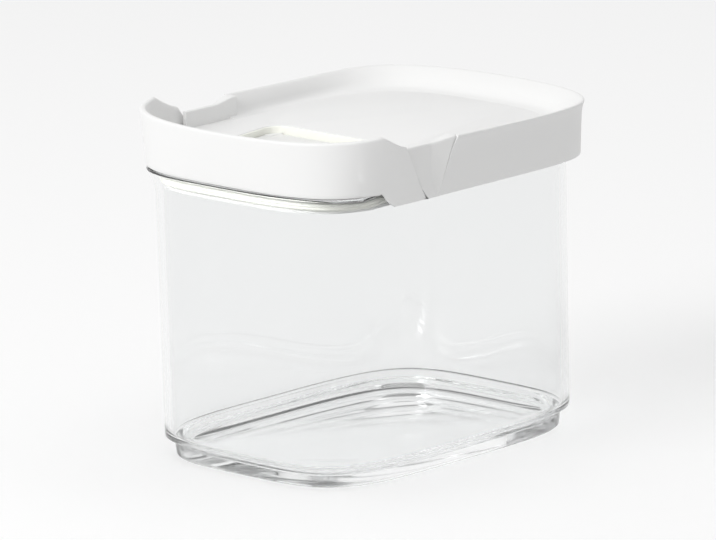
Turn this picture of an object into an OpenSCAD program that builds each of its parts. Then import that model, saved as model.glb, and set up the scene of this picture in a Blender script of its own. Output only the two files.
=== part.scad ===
// Food keeper with a flip-up pouring flap: a clear jar, a white lid frame, a white flap
// on two stub pins, a seal round the lid's plug and a seal that lines the pouring well.
// The origin is the middle of the footprint on the table. +Z is up, the flap pours
// towards -Y, and +X is the keeper's right when it is seen from the pouring side.

/* [Jar] */
// Width of the jar's body just under the lid
jar_w = 110.2; // [100:0.2:130]
// Length of the jar's body just under the lid
jar_l = 150.4; // [140:0.2:180]
// Height of the jar from the table to its rim
jar_h = 112.6; // [80:0.2:220]
// Thickness of the jar's walls
jar_wall = 2.2; // [1.6:0.1:2.8]
// Thickness of the jar's floor
base_t = 4.2; // [3:0.1:6]
// How much each wall leans in from the top to the foot
jar_draft = 0.6; // [0.2:0.1:1.2]
// Height of the stacking foot
foot_h = 8.4; // [7:0.1:12]
// How far the foot is set in at the sides
foot_side = 2.9; // [2:0.1:4]
// How far the foot is set in at the ends
foot_end = 4.0; // [2.5:0.1:5]
// Height of the flared lip at the pouring end
lip_h = 9.6; // [7:0.1:14]

/* [Lid band] */
// How far the band's lower edge stands out from the jar's sides
over_side = 4.1; // [3.8:0.1:6]
// How far the band's lower edge stands out from the jar's front
over_front = 0.8; // [0.4:0.1:3]
// How far the band's lower edge stands out from the jar's back
over_back = 3.9; // [3.6:0.1:6]
// How far the band flares out to its rim at the sides
flare_side = 2.8; // [1.5:0.1:4]
// How far the band flares out to its rim at the front
flare_front = 3.0; // [1.5:0.1:4]
// How far the band flares out to its rim at the back
flare_back = 4.1; // [2:0.1:5]
// Extra flare of the flap's rim, which stands higher
flap_flare = 0.9; // [0.3:0.1:1.5]
// How far the collar and the flap's ears reach below the jar's rim
collar_drop = 5.1; // [4:0.1:8]
// Height of the rim at the back, above the jar's rim
rim_rise = 16.4; // [14:0.1:22]
// How much higher the rim stands where the collar ends
rim_swell = 0.8; // [0:0.1:1.2]
// Height of the flap's rim at the front, above the jar's rim
nose_rise = 21.8; // [19:0.1:27]
// How much higher the flap's rim is at its humps
hump = 1.3; // [0:0.1:2]
// Thickness of the band
band_t = 2.2; // [2:0.1:2.6]

/* [Deck and well] */
// Height of the deck's top above the jar's rim
deck_rise = 8.9; // [8:0.1:11]
// Thickness of the deck
deck_t = 2.0; // [1.6:0.1:2.4]
// How far the flap's panel lies below the deck
well_depth = 2.7; // [2.4:0.1:3.4]
// Place of the well's rear edge
well_back = -12.7; // [-16:0.1:-8]
// Half the well's width at its rear corners
well_half = 35.5; // [30:0.1:38]
// How much narrower each side of the well gets per millimetre towards the front
well_taper = 0.15; // [0.05:0.01:0.2]
// Radius of the well's corners
well_r = 8; // [5:0.5:10]
// Thickness of the walls round the well
well_wall = 2.0; // [1.6:0.1:2.6]
// Place of the joint line between the deck and the flap's front bar
bar_y = -61; // [-63:0.1:-59]

/* [Side scoops] */
// Place of the flap's rear edge at the band's lower edge
ear_low_y = -28; // [-30:0.1:-27.5]
// Place of the flap's rear edge at the rim
ear_top_y = -40.5; // [-42:0.1:-40]
// Place of the scoop's deepest line
valley_y = -24.6; // [-25.2:0.1:-24]
// Place of the scoop's sharp rear edge at its low tip
tip_y = -22.6; // [-23:0.1:-21]
// Place of the scoop's sharp rear edge at the rim
crease_y = -13.4; // [-15:0.1:-12]
// How far the saddle's top lies below the collar's rim
saddle_drop = 0.8; // [0.4:0.1:1.5]
// Where the flap's lower edge steps up, counted from the ear's side
step_y = -46.6; // [-48:0.1:-45]
// Length of that step
step_l = 4.6; // [3:0.1:7]

/* [Hinge] */
// Radius of the stub pins
pin_r = 1.6; // [1.4:0.1:2]
// Length of each stub pin
pin_l = 3.2; // [2.6:0.1:4]
// Free space round the pins in their bores
pin_gap = 0.05; // [0.03:0.01:0.1]
// Thickness of the flap's panel
panel_t = 2.0; // [1.8:0.1:2.2]

/* [Plug and seals] */
// How far the plug reaches below the jar's rim
plug_drop = 5.8; // [5:0.1:8]
// Free space between the plug and the jar's wall
plug_gap = 1.1; // [0.8:0.1:1.4]
// Thickness of the plug's wall
plug_t = 1.9; // [1.5:0.1:2.4]
// Height of the lid's seal
seal_h = 3.0; // [2:0.1:3.6]
// Thickness of the seal that lines the well
lining_t = 1.0; // [0.8:0.1:1.2]
// Free space between parts that move past each other
run_gap = 0.3; // [0.2:0.05:0.35]

/* [Hidden] */

turns = 80;               // points round a closed outline
front_step = 4;           // degrees between the columns round an end
eps = 0.02;               // overlap that joins solids of one piece
edge_r = 0.6;             // rounding of free moulded edges

// plan outlines: half width, half length, middle's y, end exponent, side exponent
end_span = (over_front + flare_front + over_back + flare_back) / 2;
rim_y = 0.17;             // what the rear rim's rounding takes off more than the front's, halved
jar_y = rim_y + (over_front + flare_front - over_back - flare_back) / 2;
band_y = jar_y + (over_back - over_front) / 2;
jar_top = [jar_w / 2, jar_l / 2, jar_y, 4.33, 4.55];
jar_low = inset(jar_top, jar_draft);
foot = [jar_low[0] - foot_side, jar_low[1] - foot_end, jar_y, 4.33, 4.55];
band_low = [jar_w / 2 + over_side, (jar_l + over_front + over_back) / 2, band_y, 3.27, 6.39];
rim = [band_low[0] + flare_side, jar_l / 2 + end_span, rim_y, 2.2, 6.7];
flap_rim = [rim[0] + flap_flare, rim[1], rim_y, 2.2, 6.7];
jar_bore = inset(jar_top, jar_wall);
plug = inset(jar_bore, plug_gap);

// heights
collar_z = jar_h - collar_drop;
skirt_gap = 0.7;
skirt_z = jar_h + skirt_gap;
rim_z = jar_h + rim_rise;
crease_z = rim_z + rim_swell;
saddle_z = rim_z - saddle_drop;
nose_z = jar_h + nose_rise;
deck_z = jar_h + deck_rise;
under_z = deck_z - deck_t;
panel_z = deck_z - well_depth;
well_floor_z = jar_h + 1.6;
pin_z = panel_z - panel_t;
knuckle_r = panel_t - 0.1;
pin_y = well_back - lining_t - knuckle_r - run_gap - 0.1;
// the panel is narrower near its pins, where its corners would swing into the well's rounded corners
knuckle_half = well_half - well_r + 1.7;
relief_y = pin_y - (deck_z - pin_z) - 0.7;
// pads of the frame fill what the panel leaves free, and hold its pins
pad_half = knuckle_half + run_gap;
pad_front = relief_y + 0.5;
plug_z = jar_h - plug_drop;
seal_z = plug_z + 1.2;

// the flap's thin side walls slide past this upright face of the frame
ear_t = 1.2;
frame_face = inset(band_low, ear_t + run_gap);
saddle_in = frame_face[0] - band_t;
hump_y = -53;
rim_lean = (ear_top_y - ear_low_y) / (rim_z - collar_z);

function inset(o, d) = [o[0] - d, o[1] - d, o[2], o[3], o[4]];
function signed_pow(v, e) = sign(v) * pow(abs(v), e);
function clamp(v) = min(max(v, 0), 1);
function mix(a, b, k) = a + (b - a) * k;
function ease(v) = let (c = clamp(v)) c * c * (3 - 2 * c);
// a point of an outline at an angle, and the outline's half width at a place along y
function at(o, t) = [o[0] * signed_pow(cos(t), 2 / o[3]), o[2] + o[1] * signed_pow(sin(t), 2 / o[4])];
function half_at(o, y) = o[0] * pow(1 - pow(min(abs((y - o[2]) / o[1]), 1), o[4]), 1 / o[3]);
function outline(o) = [for (i = [0:turns - 1]) at(o, i * 360 / turns)];
function lift(points, z) = [for (p = points) [p[0], p[1], z]];
function mirrored(columns) = [for (c = columns) [for (p = c) [-p[0], p[1], p[2]]]];
function reversed(list) = [for (i = [len(list) - 1:-1:0]) list[i]];

// a stack of outlines with flat ends, from the first outline round to the last
module loft(rings) {
    n = len(rings[0]);
    m = len(rings);
    sides = [for (i = [0:m - 2], j = [0:n - 1])
        let (a = i * n + j, d = i * n + (j + 1) % n)
        each [[a, a + n, d + n], [a, d + n, d]]];
    polyhedron([for (r = rings) each r],
        concat(sides, [[for (j = [0:n - 1]) j]], [[for (j = [n - 1:-1:0]) (m - 1) * n + j]]));
}

// a closed ring whose section is the loop of the given outlines
module hoop(rings) {
    n = len(rings[0]);
    m = len(rings);
    polyhedron([for (r = rings) each r], [for (i = [0:m - 1], j = [0:n - 1])
        let (a = i * n + j, d = i * n + (j + 1) % n, up = ((i + 1) % m - i) * n)
        each [[a, a + up, d + up], [a, d + up, d]]]);
}

// a wall between two grids of points, column by column, with closed edges
module sheet(outer, inner) {
    m = len(outer);
    n = len(outer[0]);
    back = m * n;
    skins = [for (j = [0:m - 2], i = [0:n - 2])
        let (a = j * n + i, d = a + n)
        each [[a, a + 1, d + 1], [a, d + 1, d],
              [back + a, back + d + 1, back + a + 1], [back + a, back + d, back + d + 1]]];
    edges = [for (j = [0:m - 2])
        let (a = j * n, d = a + n, t = a + n - 1, u = d + n - 1)
        each [[a, d, back + d], [a, back + d, back + a],
              [u, t, back + t], [u, back + t, back + u]]];
    ends = [for (i = [0:n - 2])
        let (z = (m - 1) * n + i)
        each [[i + 1, i, back + i], [i + 1, back + i, back + i + 1],
              [z, z + 1, back + z + 1], [z, back + z + 1, back + z]]];
    polyhedron(concat([for (c = outer) each c], [for (c = inner) each c]), concat(skins, edges, ends));
}

// a straight ring between two outlines
module ring_wall(o_out, o_in, z0, z1) {
    translate([0, 0, z0])
        linear_extrude(z1 - z0)
            difference() {
                polygon(outline(o_out));
                polygon(outline(o_in));
            }
}

// a slab of the plan between two places along y
module band_between(y0, y1, z0, z1) {
    translate([-rim[1], y0, z0])
        cube([2 * rim[1], y1 - y0, z1 - z0]);
}

// ---------- jar ----------
// share of the flared lip at a place and a height; only the pouring end is flared
lip_from = step_y + 2.6;
lip_run = 10;
function lip_share(y, z) =
    ease((lip_from - y) / lip_run) * pow(clamp((z - jar_h + lip_h) / (lip_h - edge_r)), 1.6);
function jar_skin(z, d, t) =
    let (wall = inset(mix(jar_low, jar_top, (z - foot_h) / (jar_h - foot_h)), d),
         p = at(wall, t), q = at(inset(band_low, d), t))
    mix(p, q, lip_share(p[1], z));
function jar_ring(z, d) = [for (i = [0:turns - 1]) concat(jar_skin(z, d, i * 360 / turns), z)];

module container_body() {
    floor_r = 3;
    step_r = 0.8;
    foot_outer = [
        for (s = [[0, 1.4], [0.4, 0.5], [1.4, 0]]) lift(outline(inset(foot, s[1])), s[0]),
        lift(outline(inset(foot, -0.5)), foot_h - 2 * step_r),
        lift(outline(inset(jar_low, 1.1)), foot_h - step_r),
        lift(outline(inset(jar_low, 0.3)), foot_h - 0.2)];
    foot_inner = [
        lift(outline(inset(jar_low, jar_wall + 0.1)), foot_h + 1.2),
        lift(outline(inset(foot, jar_wall - 0.4)), foot_h - 0.8),
        lift(outline(inset(foot, jar_wall)), base_t + floor_r),
        lift(outline(inset(foot, jar_wall + 0.9)), base_t + 0.9),
        lift(outline(inset(foot, jar_wall + floor_r)), base_t)];
    lip_z = [for (k = [0, 0.25, 0.5, 0.7, 0.88]) jar_h - lip_h * (1 - k)];
    color([0.86, 0.9, 0.9, 0.4])
        loft(concat(foot_outer,
            [jar_ring(foot_h + step_r, 0)],
            [for (z = lip_z) jar_ring(z, 0)],
            [jar_ring(jar_h - edge_r, 0), jar_ring(jar_h, edge_r)],
            [jar_ring(jar_h, jar_wall - edge_r / 2), jar_ring(jar_h - edge_r, jar_wall)],
            [for (z = reversed(lip_z)) jar_ring(z, jar_wall)],
            foot_inner));
}

// ---------- the band that flap and frame share ----------
// columns round one end: right half by place along y, then by angle to the middle
end_angles = [for (t = [90 - front_step:-front_step:24]) t];
function front_k(z) = clamp((z - skirt_z) / (nose_z - skirt_z));
function rear_k(z) = let (h = clamp((z - collar_z) / (rim_z - collar_z))) 0.5 * h + 0.5 * pow(h, 8);
function side_point(top, d, k, y, z) =
    [mix(half_at(inset(band_low, d), y), half_at(inset(top, d), y), k), y, z];
function end_point(top, d, k, t, z) =
    concat(mix(at(inset(band_low, d), t), at(inset(top, d), t), k), z);

// ---------- flap ----------
// the flap's rear edge, its lower edge and its rim
function ear_y(z) = ear_low_y + (z - collar_z) * rim_lean;
function flap_low_z(y) = mix(collar_z, skirt_z, ease((step_y - y) / step_l));
function flap_top_z(y) =
    let (fall = clamp((y - hump_y) / (ear_top_y - hump_y)),
         climb = clamp((y + rim[1]) / (hump_y + rim[1])))
    nose_z + hump * climb - (nose_z + hump - crease_z) * (1 - pow(1 - fall, 1.35));
// the rear edge turns in softly; the inner face keeps clear of the frame's upright face
ear_soft = 7;
ear_turn = 1.0;
function ear_dent(y, z) = ear_turn * pow(clamp(1 - (ear_y(z) - y) / ear_soft), 2);
function wall_inset(k) = mix(ear_t, band_t, clamp(k / 0.25));

// rows of the flap's wall: height share, extra inset outside, extra inset inside
flap_rows = [[0, 0.4, -0.3], [0.03, 0, 0], [0.2, 0, 0], [0.45, 0, 0], [0.7, 0, 0],
             [0.9, 0, 0], [0.965, 0.1, 0], [0.992, 0.45, -0.3], [1, 0.95, -0.75]];
function flap_side(y0, hug, inside) =
    [for (r = flap_rows)
        let (y_low = mix(y0, ear_y(collar_z) + y0 - ear_y((collar_z + rim_z) / 2), hug),
             z = mix(flap_low_z(y_low), flap_top_z(mix(y0, ear_top_y, hug)), r[0]),
             y = mix(y0, ear_y(z) + y0 - ear_y((collar_z + rim_z) / 2), hug),
             k = front_k(z),
             p = side_point(flap_rim, inside ? wall_inset(k) + r[2] : r[1], k, y, z))
        inside ? p : [p[0] - ear_dent(y, z), p[1], p[2]]];
function flap_end(t, inside) =
    [for (r = flap_rows)
        let (z = mix(skirt_z, flap_top_z(at(flap_rim, -t)[1]), r[0]), k = front_k(z))
        end_point(flap_rim, inside ? wall_inset(k) + r[2] : r[1], k, -t, z)];
// places of the side columns at half height, and how far each follows the slanted rear edge
ear_mid_y = ear_y((collar_z + rim_z) / 2);
side_hugs = [[0, 1], [0.9, 1], [2.2, 1], [4, 0.95], [6.5, 0.85], [9.5, 0.62], [12.4, 0.36],
             [14.6, 0.15], [16.6, 0.03], [19, 0], [22.5, 0]];
function flap_half(inside) =
    concat([for (s = side_hugs) flap_side(ear_mid_y - s[0], s[1], inside)],
           [for (t = reversed(end_angles)) flap_end(t, inside)]);
function flap_grid(inside) =
    let (right = flap_half(inside))
    concat(mirrored(right), [flap_end(90, inside)], reversed(right));

// the dished inner slope behind the flap's rim, from the bar's joint line round the nose
bar_gap = 0.5;
bar_edge = bar_y - bar_gap;
function slope_rows(z_top) = [
    [band_t - 0.8, z_top - 1.6], [band_t + 0.5, z_top - 3.2], [band_t + 1.6, mix(deck_z, z_top, 0.45)],
    [band_t + 2.5, mix(deck_z, z_top, 0.2)], [band_t + 3.9, deck_z + 0.55], [band_t + 6.2, deck_z - eps],
    [band_t + 6.2, under_z + 0.5], [band_t - 0.8, under_z - 1.5]];
function slope_at(t) =
    let (rows = slope_rows(flap_top_z(at(flap_rim, -t)[1])))
    [for (r = rows) end_point(flap_rim, r[0], front_k(r[1]), -t, r[1])];
function slope_end() =
    let (y = bar_edge - 2 * eps)
    [for (r = slope_rows(flap_top_z(y))) side_point(flap_rim, r[0], front_k(r[1]), y, r[1])];

module nose_slope() {
    // columns between those of the wall, and only those that lie wholly in front of the joint line
    angles = [for (t = end_angles)
        let (between = t + front_step / 2)
        if (max([for (p = slope_at(between)) p[1]]) < bar_edge - 1) between];
    half = concat([slope_end()], [for (t = reversed(angles)) slope_at(t)]);
    columns = concat(mirrored(half), reversed(half));
    n = len(columns[0]);
    m = len(columns);
    polyhedron([for (c = columns) each c], concat(
        [for (j = [0:m - 2], i = [0:n - 1])
            let (a = j * n + i, b = j * n + (i + 1) % n)
            each [[a, b, b + n], [a, b + n, a + n]]],
        [[for (i = [n - 1:-1:0]) i]],
        [[for (i = [0:n - 1]) (m - 1) * n + (i + n - 1) % n]]));
}

// ---------- well ----------
// plan of the well, grown by d; open towards the front, where it runs on under the bar
function well_width(y) = well_half + (y - well_back) * well_taper;
function well_plan(d, y_front) =
    let (r = well_r + d, arc = [for (a = [0:15:90]) a],
         x = well_width(well_back) + d, c = [x - r, well_back + d - r],
         right = [for (a = arc) [c[0] + r * cos(a) - (1 - sin(a)) * r * well_taper, c[1] + r * sin(a)]])
    concat([[well_width(y_front) + d, y_front]], right,
           [for (p = reversed(right)) [-p[0], p[1]]], [[-well_width(y_front) - d, y_front]]);

module well_block(d, y_front, z0, z1) {
    translate([0, 0, z0])
        linear_extrude(z1 - z0)
            polygon(well_plan(d, y_front));
}

// the mouth ends this far behind the jar's front
mouth_in = 8.1;
mouth_front = jar_y - jar_l / 2 + mouth_in;
module flip_flap() {
    bar_plan = inset(band_low, run_gap);
    tongue_in = -lining_t - run_gap - 0.1;
    color([0.96, 0.96, 0.95]) {
        // front bar, level with the deck, and the riser down to the panel
        difference() {
            translate([0, 0, under_z])
                linear_extrude(deck_t)
                    polygon(outline(bar_plan));
            band_between(bar_edge, 2 * rim[1], under_z - 1, deck_z + 1);
        }
        intersection() {
            well_block(tongue_in, bar_edge - band_t, pin_z, deck_z - eps);
            band_between(bar_edge - band_t, bar_edge, pin_z, deck_z - eps);
        }
        sheet(flap_grid(false), flap_grid(true));
        nose_slope();
        // panel that fills the well, narrower near its knuckle and stub pins
        difference() {
            well_block(tongue_in, bar_edge - band_t, pin_z, panel_z);
            band_between(relief_y, rim[1], pin_z - 1, panel_z + 1);
        }
        translate([-knuckle_half, relief_y - 1, pin_z])
            cube([2 * knuckle_half, pin_y - relief_y + 1, panel_t]);
        translate([-knuckle_half, pin_y, pin_z])
            rotate([0, 90, 0])
                cylinder(h = 2 * knuckle_half, r = knuckle_r, $fn = 48);
        for (s = [-1, 1])
            translate([s * (knuckle_half - 2), pin_y, pin_z])
                rotate([0, s * 90, 0])
                    cylinder(h = well_width(pin_y) + pin_l - knuckle_half + 2, r = pin_r, $fn = 48);
    }
}

// ---------- lid frame ----------
// rim height and the slanted end of the collar
crease_lean = (crease_y - tip_y) / (crease_z - collar_z);
function collar_end(z) = tip_y + (z - collar_z) * crease_lean;
function collar_top_z(y) = mix(crease_z, rim_z, clamp((y - crease_y) / 40));
// the dished slope inside the rim is wide at the back and steep at the sides
function spread(y) = ease((y - 20) / 50);
// how far the slope's foot runs into the deck
sunk = 0.25;
// rows: height share of the wall, then the slope down into the deck: outside inset and height
function collar_rows(y) =
    let (top = collar_top_z(y), wide = spread(y))
    concat(
        [for (h = [0.03, 0.25, 0.55, 0.8, 0.93]) [0, mix(collar_z, top, h)]],
        [[0.15, top - 0.5], [0.9, top], [1.7, top - 0.35]],
        [[band_t + 0.3, top - 1.3],
         [mix(band_t + 0.9, band_t + 2.4, wide), mix(deck_z, top, mix(0.55, 0.6, wide))],
         [mix(band_t + 1.5, band_t + 4.4, wide), mix(deck_z, top, mix(0.25, 0.3, wide))],
         [mix(band_t + 2.6, band_t + 6.6, wide), mix(deck_z, top, 0.08)],
         [mix(band_t + 5, band_t + 10, wide), deck_z - sunk]]);
function collar_under(y) =
    let (wide = spread(y), seat_z = under_z + 0.4, end = mix(band_t + 5, band_t + 10, wide))
    concat([for (h = [0, 0.3, 0.6, 0.85]) [band_t - (h == 0 ? 0.2 : 0), mix(collar_z, seat_z, h)]],
           [for (k = [0:8]) [mix(band_t, end, pow(k / 8, 3)), seat_z]]);
function collar_column_y(y0, hug, inside) =
    [for (r = inside ? collar_under(y0) : collar_rows(y0))
        let (y = mix(y0, collar_end(r[1]) + y0 - crease_y, hug))
        side_point(rim, r[0], inside ? 0 : rear_k(r[1]), y, r[1])];
function collar_column_t(t, inside) =
    [for (r = inside ? collar_under(at(rim, t)[1]) : collar_rows(at(rim, t)[1]))
        end_point(rim, r[0], inside ? 0 : rear_k(r[1]), t, r[1])];
collar_hugs = [[0, 1], [1.5, 1], [4, 0.9], [8, 0.6], [14, 0.25], [22, 0], [32, 0], [42, 0],
               [50, 0], [55, 0]];
// the first of the rear's columns stands far enough back that its foot doesn't cross the last side column
rear_angles = [for (t = [14:front_step:90 - front_step]) t];
function collar_half(inside) =
    concat([for (s = collar_hugs) collar_column_y(crease_y + s[0], s[1], inside)],
           [for (t = rear_angles) collar_column_t(t, inside)]);
function collar_grid(inside) =
    let (right = collar_half(inside))
    concat(right, [collar_column_t(90, inside)], reversed(mirrored(right)));

// saddle: the inner wall under the flap's ear, with the scoop's floor and its rear flank
function valley_at(z) = mix(valley_y, tip_y, ease((collar_z + 9 - z) / 9));
function floor_x(z) = mix(frame_face[0], band_low[0] - 0.1, clamp((collar_z + 4.5 - z) / 4.5));
saddle_front = ear_top_y + 0.2;
function saddle_plan(z, d) =
    let (e = ear_y(z) + run_gap, c = collar_end(z), out = half_at(band_low, c) - 0.05,
         x_c = mix(out, half_at(rim, c) - 0.05, rear_k(z)), y_e = max(e, saddle_front + 1),
         x_s = min(floor_x(z) - d, x_c - d), x_i = saddle_in + d)
    [[x_i, saddle_front + d], [half_at(frame_face, saddle_front) - d, saddle_front + d],
     [half_at(frame_face, y_e) - d, y_e], [x_s, y_e + 0.1], [x_s, valley_at(z)], [x_c - d, c],
     [x_c - 1.6, c + 1.8],
     [x_c - 1.8, crease_y + 0.4 - d], [x_i + 1, crease_y + 0.4 - d], [x_i, crease_y - 0.6 - d]];
function saddle_top(y) = mix(saddle_z, crease_z, ease((y - valley_y) / (crease_y - valley_y)));
saddle_rows = [[0, 0.3], [0.04, 0], [0.12, 0], [0.22, 0], [0.36, 0], [0.5, 0], [0.64, 0], [0.78, 0],
               [0.9, 0], [0.97, 0.12], [1, 0.55]];
module saddle() {
    rings = [for (r = saddle_rows)
        let (z = mix(collar_z, saddle_z, r[0]))
        [for (p = saddle_plan(z, r[1])) [p[0], p[1], mix(collar_z, saddle_top(p[1]), r[0])]]];
    n = len(rings[0]);
    m = len(rings);
    mid = [frame_face[0] - band_t / 2, valley_y, 0];
    points = concat([for (r = rings) each r],
        [mid + [0, 0, collar_z], mid + [0, 0, saddle_z + 0.05]]);
    polyhedron(points, concat(
        [for (i = [0:m - 2], j = [0:n - 1])
            let (a = i * n + j, b = i * n + (j + 1) % n)
            each [[a, a + n, b + n], [a, b + n, b]]],
        [for (j = [0:n - 1]) each [[j, (j + 1) % n, m * n],
            [(m - 1) * n + (j + 1) % n, (m - 1) * n + j, m * n + 1]]]));
}

// ribs between the plug and the band; their lower edges rest on the jar's rim
rib_t = 1.6;
module stop_ribs() {
    for (y = [pin_y - 16, pin_y + 18, pin_y + 46, pin_y + 72])
        translate([-rim[0], y, jar_h - 2])
            cube([2 * rim[0], rib_t, deck_rise]);
    for (x = [-28, 0, 28])
        translate([x - rib_t / 2, 0, jar_h - 2])
            cube([rib_t, rim[1], deck_rise]);
}

module slab(plan, z0, z1) {
    translate([0, 0, z0])
        linear_extrude(z1 - z0)
            polygon(outline(plan));
}

// the frame's body: a block as high as the deck with its hollows taken out
module frame_body() {
    body = inset(frame_face, 0.25);
    hollow_y = bar_y + band_t;
    difference() {
        slab(body, jar_h, deck_z);
        // hollow between the plug and the band
        difference() {
            slab(inset(body, 1), jar_h - 1, under_z);
            slab(plug, jar_h - 2, deck_z);
            band_between(-2 * rim[1], hollow_y, jar_h - 2, deck_z);
            well_block(well_wall, 2 * bar_y, jar_h - 2, deck_z);
            stop_ribs();
        }
        // hollow inside the plug
        difference() {
            slab(inset(plug, plug_t), jar_h - 1, under_z);
            band_between(-2 * rim[1], hollow_y, jar_h - 2, deck_z);
            well_block(well_wall, 2 * bar_y, jar_h - 2, deck_z);
        }
        // well, its pouring mouth, and the low front that the flap's bar covers
        well_block(0, 2 * bar_y, well_floor_z, deck_z + 1);
        well_block(-4, mouth_front, jar_h - 1, well_floor_z + 1);
        band_between(-2 * rim[1], bar_y, well_floor_z, deck_z + 1);
    }
}

boss_r = pin_r + 2;
module lid_frame() {
    color([0.95, 0.95, 0.94])
        difference() {
            union() {
                sheet(collar_grid(false), collar_grid(true));
                saddle();
                mirror([1, 0, 0])
                    saddle();
                frame_body();
                intersection() {
                    well_block(-lining_t - 0.05, 2 * bar_y, well_floor_z - eps, panel_z);
                    for (x = [pad_half, -pad_half - well_r])
                        translate([x, pad_front, well_floor_z - 1])
                            cube([well_r, 2 * well_r, panel_z - well_floor_z + 2]);
                }
                // plug, with a bead that keeps its seal on
                ring_wall(plug, inset(plug, plug_t), plug_z, jar_h + 0.5);
                ring_wall(inset(plug, -0.5), inset(plug, plug_t / 2), plug_z - eps, seal_z - run_gap / 3);
                for (s = [-1, 1])
                    translate([s * (well_width(pin_y) + 0.1), pin_y, pin_z])
                        rotate([0, s * 90, 0])
                            cylinder(h = pin_l + 1.2, r = boss_r, $fn = 48);
            }
            for (s = [-1, 1])
                translate([s * knuckle_half, pin_y, pin_z])
                    rotate([0, s * 90, 0])
                        cylinder(h = well_width(pin_y) - knuckle_half + pin_l + run_gap,
                                 r = pin_r + pin_gap, $fn = 48);
        }
}

// ---------- seals ----------
module lid_seal() {
    z1 = seal_z + seal_h;
    side = jar_wall + run_gap;
    color([0.9, 0.92, 0.82])
        hoop([lift(outline(plug), seal_z), jar_ring(seal_z + 0.3, side + 0.5),
              jar_ring(mix(seal_z, z1, 0.35), side), jar_ring(mix(seal_z, z1, 0.65), side),
              jar_ring(z1 - 0.3, side + 0.5), lift(outline(plug), z1)]);
}

module spout_seal() {
    lining_z = deck_z - 0.25;
    color([0.93, 0.94, 0.86])
        difference() {
            well_block(0, mouth_front - 1, well_floor_z, lining_z);
            difference() {
                well_block(-lining_t, 2 * bar_y, well_floor_z - 1, deck_z + 1);
                band_between(2 * bar_y, mouth_front - 1 + lining_t, well_floor_z - 1, deck_z + 1);
            }
            band_between(2 * bar_y, bar_y, under_z - run_gap, deck_z + 1);
            for (s = [-1, 1])
                translate([s * knuckle_half, pin_y, pin_z])
                    rotate([0, s * 90, 0])
                        cylinder(h = well_half - knuckle_half + lining_t, r = pin_r + run_gap, $fn = 48);
        }
}

container_body();
lid_frame();
flip_flap();
lid_seal();
spout_seal();
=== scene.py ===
"""Food keeper with a pouring flap in its lid: the looks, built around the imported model.

Everything is in metres in the model's own frame: +Z is up, the flap pours towards -Y, and the
origin is the middle of the footprint. Sizes are written in millimetres and placed through MM.
"""

import logging
import math
from dataclasses import dataclass, replace
from enum import Enum
from typing import Callable

import bpy
from mathutils import Matrix, Vector

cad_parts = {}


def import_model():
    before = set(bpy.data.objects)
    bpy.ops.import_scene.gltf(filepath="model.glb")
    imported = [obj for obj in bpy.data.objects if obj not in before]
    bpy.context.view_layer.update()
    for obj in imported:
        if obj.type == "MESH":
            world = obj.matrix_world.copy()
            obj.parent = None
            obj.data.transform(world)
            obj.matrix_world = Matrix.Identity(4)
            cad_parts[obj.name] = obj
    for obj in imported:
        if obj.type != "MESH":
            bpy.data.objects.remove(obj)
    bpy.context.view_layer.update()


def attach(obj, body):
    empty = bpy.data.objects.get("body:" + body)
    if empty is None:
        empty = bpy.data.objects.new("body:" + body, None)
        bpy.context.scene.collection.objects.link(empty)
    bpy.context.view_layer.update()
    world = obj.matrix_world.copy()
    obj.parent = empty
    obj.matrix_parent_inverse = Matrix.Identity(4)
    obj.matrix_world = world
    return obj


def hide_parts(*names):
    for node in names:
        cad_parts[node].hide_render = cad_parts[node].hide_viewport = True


LOG = logging.getLogger("keeper")
MM = 0.001
WELD = 2e-6  # metres between points that are one point
SHARP_BEND = math.radians(50)  # edges that a bevel rounds
SMOOTH_BEND = math.radians(38)  # edges that shading rounds
PIN_SIDES = 48
PIN_SOFT = 0.3
BOSS_DEPTH = 0.8  # a boss's bore, as a share of its length
WALL_SOFT = 0.25
PLAN_POINTS = 240
PURE_WHITE = (1.0, 1.0, 1.0, 1.0)

Plan = list[tuple[float, float]]
Section = list[tuple[float, float]]
Point = tuple[float, float, float]
Column = list[Point]
Colour = tuple[float, float, float]
HeightRule = Callable[[float], float]  # a height for a place along Y
Piece = bpy.types.Object


class Body(str, Enum):
    """The moving bodies that pieces ride on."""

    JAR = "jar"
    LID = "lid"
    FLAP = "flap"


class Slot(str, Enum):
    """The record's material slots."""

    JAR = "clear_jar"
    LID = "white_lid"
    FLAP = "white_flap"
    SEAL = "seal"


# ---------- small sums ----------
def clamp(value: float) -> float:
    """Limit a value to the range 0 to 1."""
    return min(max(value, 0.0), 1.0)


def mix(low: float, high: float, share: float) -> float:
    """Blend two values."""
    return low + (high - low) * share


def ease(value: float) -> float:
    """Smooth a share so that it starts and ends level."""
    share = clamp(value)
    return share * share * (3 - 2 * share)


def signed_power(value: float, power: float) -> float:
    """Raise a value's size to a power and keep its sign."""
    return math.copysign(abs(value) ** power, value)


def steps(first: float, last: float, count: int) -> list[float]:
    """Spread count values evenly from first to last, both included."""
    return [mix(first, last, index / (count - 1)) for index in range(count)]


def corner(inset: float, height: float, radius: float, start: float, count: int = 5) -> Section:
    """Points of a quarter round in a wall's section.

    Args:
        inset: distance in from the outline to the quarter's centre.
        height: height of the centre.
        radius: the round's radius.
        start: angle where the quarter starts, 0 pointing inwards and 90 pointing up.
        count: number of points.

    Returns:
        Pairs of inset and height over 90 degrees of growing angle.
    """
    turns = [math.radians(angle) for angle in steps(start, start + 90, count)]
    return [(inset + radius * math.cos(turn), height + radius * math.sin(turn)) for turn in turns]


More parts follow.
